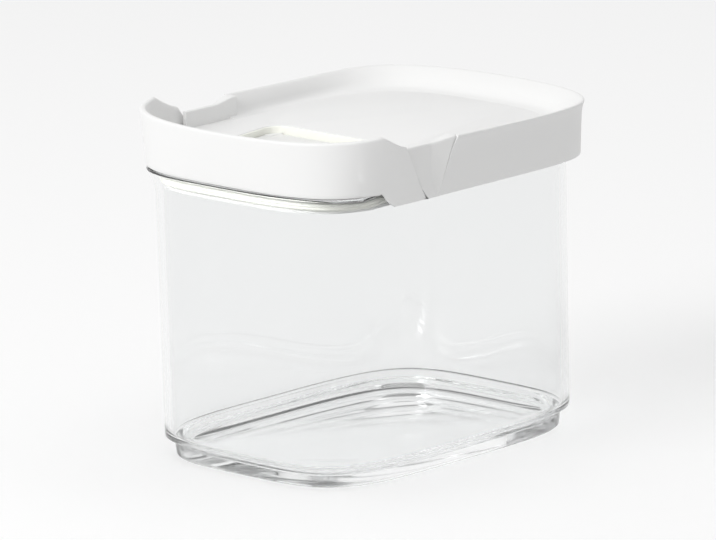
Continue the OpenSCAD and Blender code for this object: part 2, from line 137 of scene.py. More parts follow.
def smooth_path(knots: Section, parts: int) -> Section:
    """Run a smooth curve through the knots of a section.

    Args:
        knots: pairs of inset and height.
        parts: number of steps between two knots.

    Returns:
        The curve's points, with every knot among them.
    """
    path: Section = []
    for index in range(len(knots) - 1):
        before = knots[max(index - 1, 0)]
        start, end = knots[index], knots[index + 1]
        after = knots[min(index + 2, len(knots) - 1)]
        for t in (part / parts for part in range(parts)):
            pulls = (2 * t**2 - t - t**3, 2 - 5 * t**2 + 3 * t**3, t + 4 * t**2 - 3 * t**3, t**3 - t**2)
            inset, height = (
                sum(pull * value for pull, value in zip(pulls, values)) / 2
                for values in zip(before, start, end, after)
            )
            path.append((inset, height))
    return path + [knots[-1]]


@dataclass(frozen=True)
class Outline:
    """A rounded plan outline, in millimetres.

    The powers set how full its corners are: end_power along X, side_power along Y.
    """

    half_x: float
    half_y: float
    mid_y: float
    end_power: float
    side_power: float

    def inset(self, depth: float) -> "Outline":
        """Give the outline drawn in by a depth."""
        return replace(self, half_x=self.half_x - depth, half_y=self.half_y - depth)

    def at(self, angle: float) -> tuple[float, float]:
        """Give the point at an angle in degrees.

        Args:
            angle: the angle, 0 at the right side and 90 at the back.

        Returns:
            The point in plan.
        """
        turn = math.radians(angle)
        x = self.half_x * signed_power(math.cos(turn), 2 / self.end_power)
        y = self.half_y * signed_power(math.sin(turn), 2 / self.side_power)
        return x, self.mid_y + y

    def half_at(self, y: float) -> float:
        """Give the half width at a place along Y."""
        share = min(abs((y - self.mid_y) / self.half_y), 1.0)
        return self.half_x * (1 - share**self.side_power) ** (1 / self.end_power)

    def blend(self, other: "Outline", share: float) -> "Outline":
        """Give the outline part of the way to another of the same powers.

        Args:
            other: the outline at share 1.
            share: how far to go.

        Returns:
            The blended outline.
        """
        return replace(
            self,
            half_x=mix(self.half_x, other.half_x, share),
            half_y=mix(self.half_y, other.half_y, share),
            mid_y=mix(self.mid_y, other.mid_y, share),
        )

    def plan(self, count: int = PLAN_POINTS) -> Plan:
        """Give the whole outline as points."""
        return [self.at(index * 360 / count) for index in range(count)]


# ---------- modelling ----------
def deselect() -> None:
    """Leave nothing selected."""
    bpy.ops.object.select_all(action="DESELECT")


def select_only(piece: Piece) -> None:
    """Select one object and make it the active one.

    Args:
        piece: the object.
    """
    deselect()
    piece.select_set(True)
    bpy.context.view_layer.objects.active = piece


def close_shell(piece: Piece) -> None:
    """Merge a new mesh's doubles, fill its open ends and point its faces outwards.

    Args:
        piece: the new object.
    """
    select_only(piece)
    bpy.ops.object.mode_set(mode="EDIT")
    bpy.ops.mesh.select_all(action="SELECT")
    bpy.ops.mesh.remove_doubles(threshold=WELD)
    bpy.ops.mesh.fill_holes(sides=0)
    bpy.ops.mesh.normals_make_consistent(inside=False)
    bpy.ops.object.mode_set(mode="OBJECT")


def add_skin(name: str, columns: list[Column], ring: bool, tube: bool) -> Piece:
    """Add a grid and lay it on columns of points.

    Args:
        name: the object's name.
        columns: equally long columns of points in millimetres.
        ring: whether the last column joins the first.
        tube: whether each column's last point joins its first.

    Returns:
        The closed shell.
    """
    laid = [column + column[:1] for column in columns] if tube else columns
    if ring:
        laid = laid + laid[:1]
    across, along = len(laid), len(laid[0])
    deselect()
    bpy.ops.mesh.primitive_grid_add(x_subdivisions=across - 1, y_subdivisions=along - 1, size=1.0)
    piece = bpy.context.object
    piece.name = piece.data.name = name
    for row in range(along):
        for place in range(across):
            piece.data.vertices[row * across + place].co = Vector(laid[place][row]) * MM
    piece.location = (0, 0, 0)
    close_shell(piece)
    return piece


def add_prism(name: str, plan: Plan, low: float, high: float, soften: float = 0.0) -> Piece:
    """Add a straight block on a plan, raised from a filled circle.

    Args:
        name: the object's name.
        plan: the block's outline in millimetres.
        low: height of its underside.
        high: height of its top.
        soften: width of the bevel on its sharp edges.

    Returns:
        The block.
    """
    deselect()
    bpy.ops.mesh.primitive_circle_add(vertices=len(plan), radius=0.01, fill_type="NGON")
    piece = bpy.context.object
    piece.name = piece.data.name = name
    for vertex, point in zip(piece.data.vertices, plan):
        vertex.co = Vector((point[0], point[1], low)) * MM
    bpy.ops.object.mode_set(mode="EDIT")
    bpy.ops.mesh.select_all(action="SELECT")
    rise = (0, 0, (high - low) * MM)
    bpy.ops.mesh.extrude_region_move(TRANSFORM_OT_translate={"value": rise})
    bpy.ops.mesh.select_all(action="SELECT")
    bpy.ops.mesh.normals_make_consistent(inside=False)
    bpy.ops.object.mode_set(mode="OBJECT")
    if soften:
        bevel(piece, soften)
    return piece


def add_wall(name: str, outer: Plan, inner: Plan, low: float, tops: HeightRule) -> Piece:
    """Add a ring-shaped wall between two plans of equal length, with softened edges.

    Args:
        name: the object's name.
        outer: the outer plan in millimetres.
        inner: the inner plan.
        low: height of its lower edge.
        tops: gives the height of its upper edge at a place along Y.

    Returns:
        The wall.
    """
    columns: list[Column] = []
    for (x_out, y_out), (x_in, y_in) in zip(outer, inner):
        high = tops((y_out + y_in) / 2)
        lower = high - WALL_SOFT
        near = WALL_SOFT / math.hypot(x_out - x_in, y_out - y_in)
        section = [(0, low), (0, lower), (near, high), (1 - near, high), (1, lower), (1, low)]
        columns.append([(mix(x_out, x_in, share), mix(y_out, y_in, share), z) for share, z in section])
    return add_skin(name, columns, ring=True, tube=True)


def add_pin(name: str, start: Vector, end: Vector, radius: float, bore: float = 0.0) -> Piece:
    """Add a round pin with softened ends, or a boss with a blind bore in its first end.

    Args:
        name: the object's name.
        start: middle of its first end in millimetres.
        end: middle of its far end.
        radius: its radius.
        bore: radius of the bore, or 0 for none.

    Returns:
        The pin, with its place in its mesh.
    """
    deselect()
    axis = end - start
    length = axis.length * MM
    bpy.ops.mesh.primitive_cylinder_add(vertices=PIN_SIDES, radius=radius * MM, depth=length)
    piece = bpy.context.object
    piece.name = piece.data.name = name
    if bore:
        for face in piece.data.polygons:
            face.select = face.normal.z < -0.5
        bpy.ops.object.mode_set(mode="EDIT")
        bpy.ops.mesh.select_mode(type="FACE")
        bpy.ops.mesh.inset(thickness=(radius - bore) * MM)
        sink = (0, 0, length * BOSS_DEPTH)
        bpy.ops.mesh.extrude_region_move(TRANSFORM_OT_translate={"value": sink})
        bpy.ops.object.mode_set(mode="OBJECT")
    bevel(piece, PIN_SOFT)
    turn = axis.to_track_quat("Z", "Y").to_matrix().to_4x4()
    piece.data.transform(Matrix.Translation((start + end) / 2 * MM) @ turn)
    return piece


def bevel(piece: Piece, width: float, segments: int = 3) -> None:
    """Round a piece's sharp edges and apply the modifier.

    Args:
        piece: the piece.
        width: width of the round in millimetres.
        segments: number of faces across it.
    """
    select_only(piece)
    modifier = piece.modifiers.new("soft_edges", "BEVEL")
    modifier.width = width * MM
    modifier.segments = segments
    modifier.limit_method = "ANGLE"
    modifier.angle_limit = SHARP_BEND
    bpy.ops.object.modifier_apply(modifier=modifier.name)


def cut_bore(piece: Piece, start: Vector, end: Vector, radius: float) -> None:
    """Cut a round hole through a piece.

    Args:
        piece: the piece to cut.
        start: where the hole's axis starts, in millimetres.
        end: where it ends.
        radius: the hole's radius.
    """
    cutter = add_pin("cutter", start, end, radius)
    cut = piece.modifiers.new("bore", "BOOLEAN")
    cut.operation = "DIFFERENCE"
    cut.object = cutter
    select_only(piece)
    bpy.ops.object.modifier_apply(modifier=cut.name)
    bpy.data.objects.remove(cutter, do_unlink=True)


def join(name: str, parts: list[Piece]) -> Piece:
    """Join parts of one moulding into one piece with smooth shading.

    Args:
        name: the piece's name.
        parts: the shells that make it up.

    Returns:
        The joined piece.
    """
    deselect()
    for part in parts:
        part.select_set(True)
    bpy.context.view_layer.objects.active = parts[0]
    if len(parts) > 1:
        bpy.ops.object.join()
    piece = bpy.context.object
    piece.name = piece.data.name = name
    bpy.ops.object.shade_smooth_by_angle(angle=SMOOTH_BEND)
    return piece


def place(piece: Piece, body: Body, node: str, slot: Slot, finish: bpy.types.Material) -> None:
    """Dress a piece and seat it in the model.

    Args:
        piece: the finished piece.
        body: the body that it rides on.
        node: the model's node that it stands for.
        slot: not used.
        finish: its material.
    """
    piece.data.materials.clear()
    piece.data.materials.append(finish)
    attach(piece, body.value)
    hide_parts(node)
    LOG.info("%s: %d faces on %s", piece.name, len(piece.data.polygons), body.value)


# ---------- finishes ----------
def set_inputs(node: bpy.types.Node, values: dict[str, float | tuple[float, ...]]) -> None:
    """Set a node's own sockets by name."""
    for name, value in values.items():
        node.inputs[name].default_value = value


def moulding_group() -> bpy.types.ShaderNodeTree:
    """Build the shared effect of a moulded surface: soft unevenness and a changing gloss.

    Returns:
        A node group that puts out a roughness and a normal.
    """
    group = bpy.data.node_groups.new("moulded_surface", "ShaderNodeTree")
    face = group.interface
    inputs = {
        "Grain Size": 900.0,
        "Grain Depth": 0.02,
        "Wave Size": 25.0,
        "Wave Depth": 0.05,
        "Smooth": 0.3,
        "Dull": 0.4,
    }
    for name, value in inputs.items():
        socket = face.new_socket(name=name, in_out="INPUT", socket_type="NodeSocketFloat")
        socket.default_value = value
    face.new_socket(name="Roughness", in_out="OUTPUT", socket_type="NodeSocketFloat")
    face.new_socket(name="Normal", in_out="OUTPUT", socket_type="NodeSocketVector")
    nodes, links = group.nodes, group.links
    start, end = nodes.new("NodeGroupInput"), nodes.new("NodeGroupOutput")
    place_on = nodes.new("ShaderNodeTexCoord")
    grain, wave, smudge = (nodes.new("ShaderNodeTexNoise") for _ in range(3))
    links.new(start.outputs["Grain Size"], grain.inputs["Scale"])
    links.new(start.outputs["Wave Size"], wave.inputs["Scale"])
    smudge.inputs["Scale"].default_value = 38.0
    for noise, detail in ((grain, 3.0), (wave, 1.0), (smudge, 4.0)):
        noise.inputs["Detail"].default_value = detail
        links.new(place_on.outputs["Object"], noise.inputs["Vector"])
    shine = nodes.new("ShaderNodeMapRange")
    set_inputs(shine, {"From Min": 0.3, "From Max": 0.7})
    links.new(smudge.outputs["Fac"], shine.inputs["Value"])
    links.new(start.outputs["Smooth"], shine.inputs["To Min"])
    links.new(start.outputs["Dull"], shine.inputs["To Max"])
    links.new(shine.outputs["Result"], end.inputs["Roughness"])
    broad, fine = nodes.new("ShaderNodeBump"), nodes.new("ShaderNodeBump")
    # the reach of each bump is in millimetres
    for bump, depth, noise, reach in ((broad, "Wave Depth", wave, 1.0), (fine, "Grain Depth", grain, 0.05)):
        bump.inputs["Distance"].default_value = reach * MM
        links.new(start.outputs[depth], bump.inputs["Strength"])
        links.new(noise.outputs["Fac"], bump.inputs["Height"])
    links.new(broad.outputs["Normal"], fine.inputs["Normal"])
    links.new(fine.outputs["Normal"], end.inputs["Normal"])
    return group


@dataclass(frozen=True)
class MouldedFinish:
    """An opaque moulded plastic or rubber."""

    name: str
    colour: Colour
    smooth: float
    dull: float
    grain_size: float
    grain_depth: float
    wave_depth: float
    wave_size: float = 25.0
    ior: float = 1.49

    def material(self, surface: bpy.types.ShaderNodeTree) -> bpy.types.Material:
        """Build the material.

        Args:
            surface: the shared moulded-surface group.

        Returns:
            The material.
        """
        material = bpy.data.materials.new(self.name)
        material.use_nodes = True
        nodes, links = material.node_tree.nodes, material.node_tree.links
        shader = nodes["Principled BSDF"]
        set_inputs(shader, {"Base Color": (*self.colour, 1.0), "IOR": self.ior})
        effect = nodes.new("ShaderNodeGroup")
        effect.node_tree = surface
        set_inputs(effect, {"Smooth": self.smooth, "Dull": self.dull})
        set_inputs(effect, {"Grain Size": self.grain_size, "Grain Depth": self.grain_depth})
        set_inputs(effect, {"Wave Size": self.wave_size, "Wave Depth": self.wave_depth})
        for name in ("Roughness", "Normal"):
            links.new(effect.outputs[name], shader.inputs[name])
        return material


@dataclass(frozen=True)
class ClearFinish(MouldedFinish):
    """A clear, polished plastic that light passes through."""

    shadow_tint: Colour = (0.975, 0.98, 0.98)
    depth_tint: Colour = (0.78, 0.80, 0.80)
    depth_density: float = 0.8

    def material(self, surface: bpy.types.ShaderNodeTree) -> bpy.types.Material:
        """Build the material; shadow rays pass it, as light passes a thin clear wall.

        Args:
            surface: the shared moulded-surface group.

        Returns:
            The material.
        """
        material = super().material(surface)
        nodes, links = material.node_tree.nodes, material.node_tree.links
        shader, output = nodes["Principled BSDF"], nodes["Material Output"]
        set_inputs(shader, {"Transmission Weight": 1.0})
        rays = nodes.new("ShaderNodeLightPath")
        through = nodes.new("ShaderNodeBsdfTransparent")
        set_inputs(through, {"Color": (*self.shadow_tint, 1.0)})
        blend = nodes.new("ShaderNodeMixShader")
        links.new(rays.outputs["Is Shadow Ray"], blend.inputs["Fac"])
        links.new(shader.outputs["BSDF"], blend.inputs[1])
        links.new(through.outputs["BSDF"], blend.inputs[2])
        links.new(blend.outputs["Shader"], output.inputs["Surface"])
        depth = nodes.new("ShaderNodeVolumeAbsorption")
        set_inputs(depth, {"Color": (*self.depth_tint, 1.0), "Density": self.depth_density})
        links.new(depth.outputs["Volume"], output.inputs["Volume"])
        return material


WHITE_LID = MouldedFinish("white_lid_plastic", (0.83, 0.83, 0.825), 0.34, 0.46, 1400.0, 0.10, 0.02)
WHITE_FLAP = MouldedFinish("white_flap_plastic", (0.835, 0.835, 0.83), 0.32, 0.44, 1400.0, 0.10, 0.02)
# the seal's colour is partly its own pale tone and partly painted light: it is made paler so that the seal
# stays pale where it sits in shade under the flap's skirt
SOFT_SEAL = MouldedFinish("soft_seal_silicone", (0.95, 0.955, 0.89), 0.45, 0.6, 700.0, 0.2, 0.03)
CLEAR_JAR = ClearFinish(
    "clear_jar_plastic", (0.945, 0.95, 0.95), 0.015, 0.035, 900.0, 0.0, 0.012, wave_size=18.0, ior=1.5
)


# ---------- sizes ----------
@dataclass(frozen=True)
class KeeperForm:
    """Sizes that more than one piece of the keeper follows, in millimetres."""

    jar_top: Outline = Outline(55.1, 75.2, -1.93, 4.33, 4.55)
    jar_low: Outline = Outline(54.5, 74.6, -1.93, 4.33, 4.55)
    foot: Outline = Outline(51.6, 70.6, -1.93, 4.33, 4.55)
    band_low: Outline = Outline(59.2, 77.55, -0.38, 3.27, 6.39)
    rim: Outline = Outline(61.84, 80.91, 0.17, 2.2, 6.7)
    flap_rim: Outline = Outline(62.8, 81.02, 0.17, 2.2, 6.7)
    jar_h: float = 112.6
    jar_wall: float = 2.2
    plug_gap: float = 1.1
    plug_low: float = 106.8
    collar_z: float = 107.5
    flare_power: int = 8
    skirt_z: float = 113.3
    rim_z: float = 129.0
    crease_z: float = 129.8
    saddle_z: float = 128.2
    nose_z: float = 134.4
    hump: float = 1.3
    hump_y: float = -53.0
    deck_z: float = 121.5
    under_z: float = 119.5
    panel_z: float = 118.8
    floor_z: float = 114.2
    pin_y: float = -16.0
    pin_z: float = 116.8
    pin_r: float = 1.6
    relief_y: float = -21.4
    knuckle_half: float = 29.2
    pad_half: float = 29.5
    pad_front: float = -20.9
    pin_gap: float = 0.05
    band_t: float = 2.2
    ear_t: float = 1.2
    gap: float = 0.3
    ear_low_y: float = -28.0
    ear_top_y: float = -40.5
    valley_y: float = -24.6
    tip_y: float = -22.6
    crease_y: float = -13.4
    step_y: float = -46.6
    step_l: float = 4.6
    bar_y: float = -61.0
    bar_gap: float = 0.5
    deck_in: float = 0.25
    well_back: float = -12.7
    well_half: float = 35.5
    well_taper: float = 0.15
    well_r: float = 8.0
    lining_t: float = 1.0
    mouth_front: float = -69.0

    @property
    def plug(self) -> Outline:
        """The outline of the lid's plug."""
        return self.jar_top.inset(self.jar_wall + self.plug_gap)

    @property
    def frame_face(self) -> Outline:
        """The outline of the frame's upright faces that the flap slides past."""
        return self.band_low.inset(self.ear_t + self.gap)

    @property
    def bar_edge(self) -> float:
        """The rear edge of the flap's bar along Y."""
        return self.bar_y - self.bar_gap

    @property
    def lining_stop(self) -> float:
        """The front end of the spout seal along Y."""
        return self.mouth_front - 1

    def pin_at(self, x: float) -> Vector:
        """Give the point of the hinge's axis at a place along X."""
        return Vector((x, self.pin_y, self.pin_z))

    def ear_y(self, z: float) -> float:
        """Give the flap's rear edge at a height."""
        lean = (self.ear_top_y - self.ear_low_y) / (self.rim_z - self.collar_z)
        return self.ear_low_y + (z - self.collar_z) * lean

    def collar_end(self, z: float) -> float:
        """Give the sharp end of the collar at a height."""
        lean = (self.crease_y - self.tip_y) / (self.crease_z - self.collar_z)
        return self.tip_y + (z - self.collar_z) * lean

    def front_share(self, z: float) -> float:
        """Give how far the flap's wall has flared at a height."""
        return clamp((z - self.skirt_z) / (self.nose_z - self.skirt_z))

    def rear_share(self, z: float) -> float:
        """Give how far the collar's wall has flared at a height."""
        rise = clamp((z - self.collar_z) / (self.rim_z - self.collar_z))
        return mix(rise**self.flare_power, rise, 0.5)

    def side_point(self, top: Outline, depth: float, share: float, y: float, z: float) -> Point:
        """Give a point of the band's right side at a place along Y."""
        low_x = self.band_low.inset(depth).half_at(y)
        return mix(low_x, top.inset(depth).half_at(y), share), y, z

    def end_point(self, top: Outline, depth: float, share: float, angle: float, z: float) -> Point:
        """Give a point of the band's end at an angle in degrees."""
        low, high = self.band_low.inset(depth).at(angle), top.inset(depth).at(angle)
        return mix(low[0], high[0], share), mix(low[1], high[1], share), z

    def well_width(self, y: float) -> float:
        """Give the well's half width at a place along Y."""
        return self.well_half + (y - self.well_back) * self.well_taper

    def well_plan(self, grow: float, front: float, stations: tuple[float, ...] = ()) -> Plan:
        """Give the well's plan, open towards the front.

        Args:
            grow: how far it is grown outwards.
            front: where its sides end.
            stations: places along Y that get a point of their own.

        Returns:
            Points from the right front round the rear to the left front.
        """
        radius = self.well_r + grow
        middle_x = self.well_half + grow - radius
        middle_y = self.well_back + grow - radius
        right = [(self.well_width(y) + grow, y) for y in (front, *stations)]
        for angle in steps(0, 90, 13):
            turn = math.radians(angle)
            lean = (1 - math.sin(turn)) * radius * self.well_taper
            right.append((middle_x + radius * math.cos(turn) - lean, middle_y + radius * math.sin(turn)))
        return right + [(-x, y) for x, y in reversed(right)]


# ---------- the jar ----------
@dataclass(frozen=True)
class Jar:
    """The clear jar with its stacking foot and the lip at its pouring end."""

    form: KeeperForm
    floor_z: float = 4.2
    floor_in: float = 4.0
    bend_r: float = 3.0
    bend_stop: float = 1.2
    underside_in: float = 6.0
    foot_h: float = 8.4
    foot_r: float = 1.4
    foot_lean: float = 0.45
    seat_out: float = 0.5
    ledge_h: float = 2.6
    knee_r: float = 1.1
    knee_drop: float = 0.8
    lip_h: float = 9.6
    lip_run: float = 10.0
    lip_lead: float = 2.6
    lip_power: float = 1.6
    rim_r: float = 0.6

    def wall_point(self, z: float, depth: float, angle: float) -> Point:
        """Give a point of the wall, flared towards the lid's band at the pouring end.

        Args:
            z: its height.
            depth: how far it lies in from the outer face.
            angle: its angle in degrees.

        Returns:
            The point.
        """
        form = self.form
        low, top = form.jar_low.inset(depth), form.jar_top.inset(depth)
        point = low.blend(top, (z - self.foot_h) / (form.jar_h - self.foot_h)).at(angle)
        lip = form.band_low.inset(depth).at(angle)
        rise = clamp((z - form.jar_h + self.lip_h) / (self.lip_h - self.rim_r))
        share = ease((form.step_y + self.lip_lead - point[1]) / self.lip_run) * rise**self.lip_power
        return mix(point[0], lip[0], share), mix(point[1], lip[1], share), z

    def profile(self) -> list[Callable[[float], Point]]:
        """Give the jar's section as makers of points, from under the foot round to the floor.

        Returns:
            Functions that each give a point of the section at an angle in degrees.
        """
        form, wall = self.form, self.form.jar_wall
        rows: list[Callable[[float], Point]] = []

        def on(outline: Outline, depth: float, z: float) -> None:
            """Add a row that follows an outline."""
            rows.append(lambda angle: (*outline.inset(depth).at(angle), z))

        def on_wall(depth: float, z: float) -> None:
            """Add a row that follows the wall."""
            rows.append(lambda angle: self.wall_point(z, depth, angle))

        on(form.foot, self.underside_in, 0.0)
        for depth, z in reversed(corner(self.foot_r, self.foot_r, self.foot_r, 180, 6)):
            on(form.foot, depth, z)
        on(form.foot, -self.foot_lean, self.foot_h - self.ledge_h)
        seat, ledge = form.foot.inset(-self.seat_out), form.jar_low.inset(self.knee_r)
        # shares of the way from the foot out to the wall, and heights from the foot's top
        for share, rise in ((0.0, -1.9), (0.08, -1.5), (0.3, -1.25), (0.65, -1.05), (1.0, -self.knee_drop)):
            on(seat.blend(ledge, share), 0.0, self.foot_h + rise)
        knee_z = self.foot_h - self.knee_drop + self.knee_r
        for depth, z in list(reversed(corner(self.knee_r, knee_z, self.knee_r, 180, 6)))[1:]:
            on(form.jar_low, depth, z)
        lip = [form.jar_h - self.lip_h * share for share in steps(1.0, 0.07, 12)]
        for z in steps(self.foot_h + 2, lip[0] - 2, 5) + lip:
            on_wall(0.0, z)
        rim_z = form.jar_h - self.rim_r
        for inset, start in ((self.rim_r, 90), (wall - self.rim_r, 0)):
            for depth, z in reversed(corner(inset, rim_z, self.rim_r, start, 5)):
                on_wall(depth, z)
        for z in reversed(steps(self.foot_h + 3, lip[0] - 2, 5) + lip):
            on_wall(wall, z)
        inner, shoulder = form.foot.inset(wall), form.jar_low.inset(wall)
        # the same bend on the inside, from the wall back in to the foot
        for share, rise in ((1.0, 1.6), (0.92, 0.7), (0.65, 0.15), (0.3, -0.15), (0.08, -0.5), (0.0, -1.0)):
            on(inner.blend(shoulder, share), 0.0, self.foot_h + rise)
        foot_in = wall + self.bend_r
        for depth, z in reversed(corner(foot_in, self.floor_z + self.bend_r, self.bend_r, 180, 8)):
            if z < self.foot_h - self.bend_stop:
                on(form.foot, depth, z)
        on(form.foot, foot_in + self.floor_in, self.floor_z)
        return rows

    def build(self) -> Piece:
        """Build the jar as one closed skin.

        Returns:
            The jar.
        """
        rows = self.profile()
        columns = [[row(angle) for row in rows] for angle in steps(0, 360, PLAN_POINTS + 1)[:-1]]
        return join("clear_jar_shell", [add_skin("clear_jar_shell", columns, ring=True, tube=False)])


# ---------- the flap ----------
@dataclass(frozen=True)
class PouringFlap:
    """The flap: its flared nose and side walls, bar, panel, knuckle and stub pins."""

    form: KeeperForm
    pin_l: float = 3.2
    pin_root: float = 2.0
    knuckle_r: float = 1.9
    rim_r: float = 0.95
    foot_r: float = 0.4
    fall_power: float = 1.35
    thicken: float = 0.25
    hug_from: float = 2.0
    hug_run: float = 16.0
    ear_soft: float = 7.0
    ear_turn: float = 0.95
    slope_in: float = 6.6
    panel_gap: float = 0.1
    riser_in: float = 0.05
    riser_up: float = 0.4
    bar_soft: float = 0.3
    riser_soft: float = 0.2
    panel_soft: float = 0.15

    def low_z(self, y: float) -> float:
        """Give the height of the wall's lower edge."""
        form = self.form
        return mix(form.collar_z, form.skirt_z, ease((form.step_y - y) / form.step_l))

    def top_z(self, y: float) -> float:
        """Give the height of the rim, which falls from its humps to the ears and to the nose.

        Args:
            y: the place along Y.

        Returns:
            The height.
        """
        form = self.form
        fall = clamp((y - form.hump_y) / (form.ear_top_y - form.hump_y))
        climb = clamp((y + form.rim.half_y) / (form.hump_y + form.rim.half_y))
        peak = form.nose_z + form.hump
        drop = (peak - form.crease_z) * (1 - (1 - fall) ** self.fall_power)
        return form.nose_z + form.hump * climb - drop

    def section(self, low: float, top: float) -> tuple[Section, Section]:
        """Give the outer and the inner half of the wall's section.

        Args:
            low: height of its lower edge.
            top: height of its rim.

        Returns:
            Pairs of inset and height, the outer from below upwards, the inner from above downwards.
        """
        form = self.form
        outer = [(self.foot_r, low), (self.foot_r * 0.3, low + self.foot_r * 0.3)]
        outer += [(0.0, mix(low + self.foot_r, top - self.rim_r, share)) for share in steps(0, 1, 14)]
        outer += list(reversed(corner(self.rim_r, top - self.rim_r, self.rim_r, 90, 6)))[1:]

        def inner_inset(z: float) -> float:
            """Give the wall's thickness at a height."""
            return mix(form.ear_t, form.band_t, clamp(form.front_share(z) / self.thicken))

        inside = inner_inset(top)
        inner = list(reversed(corner(inside - self.rim_r, top - self.rim_r, self.rim_r, 0, 6)))
        for share in steps(1, 0, 14)[1:]:
            z = mix(low + self.foot_r, top - self.rim_r, share)
            inner.append((inner_inset(z), z))
        inner.append((inner_inset(low) - self.foot_r, low))
        return outer, inner

    def side_at(self, depth: float, y: float, z: float) -> Point:
        """Give a point of the right side wall at a depth from its outer face."""
        return self.form.side_point(self.form.flap_rim, depth, self.form.front_share(z), y, z)

    def side_column(self, distance: float) -> Column:
        """Give one column of the right side wall.

        Args:
            distance: how far the column stands in front of the ear's rear edge at mid height.

        Returns:
            The closed section as points.
        """
        form = self.form
        middle = form.ear_y((form.collar_z + form.rim_z) / 2)
        hug = 1 - ease((distance - self.hug_from) / self.hug_run)

        def y_at(z: float) -> float:
            """Give the column's place along Y at a height."""
            return mix(middle, form.ear_y(z), hug) - distance

        top = form.crease_z
        # the rim's height and its place along Y depend on each other
        for _ in range(6):
            top = self.top_z(y_at(top))
        outer, inner = self.section(self.low_z(y_at(form.collar_z)), top)
        points: Column = []
        for depth, z in outer:
            y = y_at(z)
            dent = self.ear_turn * clamp(1 - (form.ear_y(z) - y) / self.ear_soft) ** 2
            x, _, _ = self.side_at(depth, y, z)
            points.append((x - dent * (1 - depth / self.rim_r), y, z))
        return points + [self.side_at(depth, y_at(z), z) for depth, z in inner]

    def end_column(self, section: Section, angle: float) -> Column:
        """Lay a section on the nose at an angle from the side, in degrees."""
        form, rim = self.form, self.form.flap_rim
        return [form.end_point(rim, depth, form.front_share(z), -angle, z) for depth, z in section]

    def nose_top(self, angle: float) -> float:
        """Give the rim's height on the nose at an angle from the side, in degrees."""
        return self.top_z(self.form.flap_rim.at(-angle)[1])

    def wall(self) -> Piece:
        """Build the flared wall from one ear round the nose to the other.

        Returns:
            The wall as a closed shell.
        """
        # closest together at the ear, where the wall turns in
        distances = (0, 0.4, 0.9, 1.6, 2.6, 3.8, 5.2, 6.8, 8.6, 10.6, 12.8, 15, 17, 19, 21, 23, 25, 27)
        columns = [self.side_column(distance) for distance in distances]
        for angle in steps(26, 90, 44):
            outer, inner = self.section(self.form.skirt_z, self.nose_top(angle))
            columns.append(self.end_column(outer + inner, angle))
        return add_skin("flap_wall", both_sides(columns), ring=False, tube=True)

    def slope_section(self, top: float) -> Section:
        """Give the section of the dished slope behind the nose.

        Args:
            top: height of the rim above it.

        Returns:
            Pairs of inset and height, from the rim down to the deck and back below.
        """
        form = self.form
        # from inside the rim down the dish, until it runs out level with the deck
        knots = [
            (form.band_t - 0.8, top - 1.5),
            (form.band_t + 0.4, top - 3.2),
            (form.band_t + 1.5, mix(form.deck_z, top, 0.45)),
            (form.band_t + 2.5, mix(form.deck_z, top, 0.2)),
            (form.band_t + 4.0, form.deck_z + 0.5),
            (form.band_t + self.slope_in, form.deck_z + 0.03),
        ]
        below = [(form.band_t + self.slope_in, form.under_z + 0.5), (form.band_t - 0.8, form.under_z - 1.5)]
        return smooth_path(knots, 4) + below

    def slope(self) -> Piece:
        """Build the dished slope from the joint line round the nose.

        Returns:
            The slope as a closed shell.
        """
        edge = self.form.bar_edge
        columns: list[Column] = []
        for y in (edge, edge - 0.6):
            columns.append([self.side_at(depth, y, z) for depth, z in self.slope_section(self.top_z(y))])
        for angle in steps(36, 90, 34):
            column = self.end_column(self.slope_section(self.nose_top(angle)), angle)
            if max(point[1] for point in column) < edge - 0.8:
                columns.append(column)
        return add_skin("flap_slope", both_sides(columns), ring=False, tube=True)

    def bar_and_panel(self) -> list[Piece]:
        """Build the bar level with the deck, its riser, and the panel that fills the well.

        Returns:
            The three blocks.
        """
        form, edge = self.form, self.form.bar_edge
        grow = -form.lining_t - form.gap - self.panel_gap
        outline = form.band_low.inset(form.gap)
        half = outline.half_at(edge)
        front = [point for point in outline.plan() if point[1] < edge]
        bar_plan = [(-half, edge), *front, (half, edge)]
        back = edge - form.band_t
        half = form.well_width(back) + grow - self.riser_in
        front_y, top = back + self.riser_in, form.deck_z - self.riser_in
        riser_plan = [(-half, front_y), (half, front_y), (half, edge), (-half, edge)]
        side = [(form.well_width(y) + grow, y) for y in steps(back, form.relief_y, 7)]
        side += [(form.knuckle_half, form.relief_y), (form.knuckle_half, form.pin_y)]
        panel_plan = side + [(-x, y) for x, y in reversed(side)]
        return [
            add_prism("flap_bar", bar_plan, form.under_z, form.deck_z, self.bar_soft),
            add_prism("flap_riser", riser_plan, form.pin_z + self.riser_up, top, self.riser_soft),
            add_prism("flap_panel", panel_plan, form.pin_z, form.panel_z, self.panel_soft),
        ]

    def knuckle(self) -> list[Piece]:
        """Build the round rear edge of the panel and the stub pins at its ends.

        Returns:
            The knuckle and the two pins.
        """
        form = self.form
        half, reach = form.knuckle_half, form.well_width(form.pin_y) + self.pin_l
        parts = [add_pin("flap_knuckle", form.pin_at(-half), form.pin_at(half), self.knuckle_r)]
        for side in (-1, 1):
            start, end = form.pin_at(side * (half - self.pin_root)), form.pin_at(side * reach)
            parts.append(add_pin("flap_pin", start, end, form.pin_r))
        return parts

    def build(self) -> Piece:
        """Build the whole flap."""
        parts = [self.wall(), self.slope(), *self.bar_and_panel(), *self.knuckle()]
        return join("pouring_flap_shell", parts)


def both_sides(right: list[Column]) -> list[Column]:
    """Mirror the right half's columns and run from the right over the middle to the left.

    Args:
        right: columns from the right end to the middle, the last one in the middle plane.

    Returns:
        The columns of both halves in order.
    """
    left = [[(-x, y, z) for x, y, z in column] for column in reversed(right[:-1])]
    return right + left


